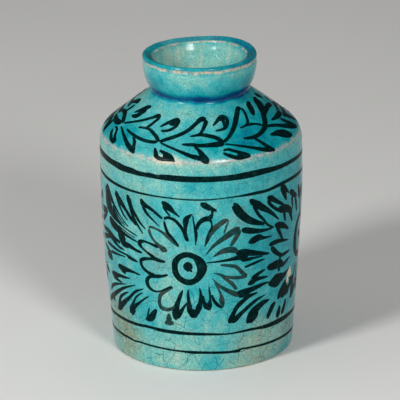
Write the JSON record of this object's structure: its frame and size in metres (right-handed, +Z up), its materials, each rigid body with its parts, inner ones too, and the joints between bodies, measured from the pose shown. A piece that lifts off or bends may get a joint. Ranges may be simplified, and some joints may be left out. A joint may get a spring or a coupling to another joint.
{
  "type": "glazed ceramic vase",
  "caption": "Upright glazed fritware vase with a sloping shoulder and a cupped mouth, hollow inside, standing on a bare foot ring.",
  "frame": {"origin": "centre of the foot ring, on the plane that the vase stands on", "axes": "+Z up along the axis that the vase is turned about, through the mouth; +X to the right and -Y towards the viewer of the picture"},
  "size_m": [0.1044, 0.1044, 0.157],
  "materials": {
    "fired_clay": "matte",
    "luting_clay": "matte",
    "turquoise_glaze": "gloss",
    "pooled_glaze": "gloss",
    "black_pigment": "gloss"
  },
  "bodies": {
    "root": {"floor_slab": "fired_clay", "body_wall": "fired_clay", "shoulder": "fired_clay", "neck_collar": "fired_clay", "mouth_cup": "fired_clay", "floor_seam_coil": "luting_clay", "shoulder_seam_coil": "luting_clay", "body_glaze": "turquoise_glaze", "shoulder_glaze": "turquoise_glaze", "mouth_glaze": "turquoise_glaze", "throat_glaze": "turquoise_glaze", "neck_glaze_pool": "pooled_glaze"}
  },
  "joints": []
}
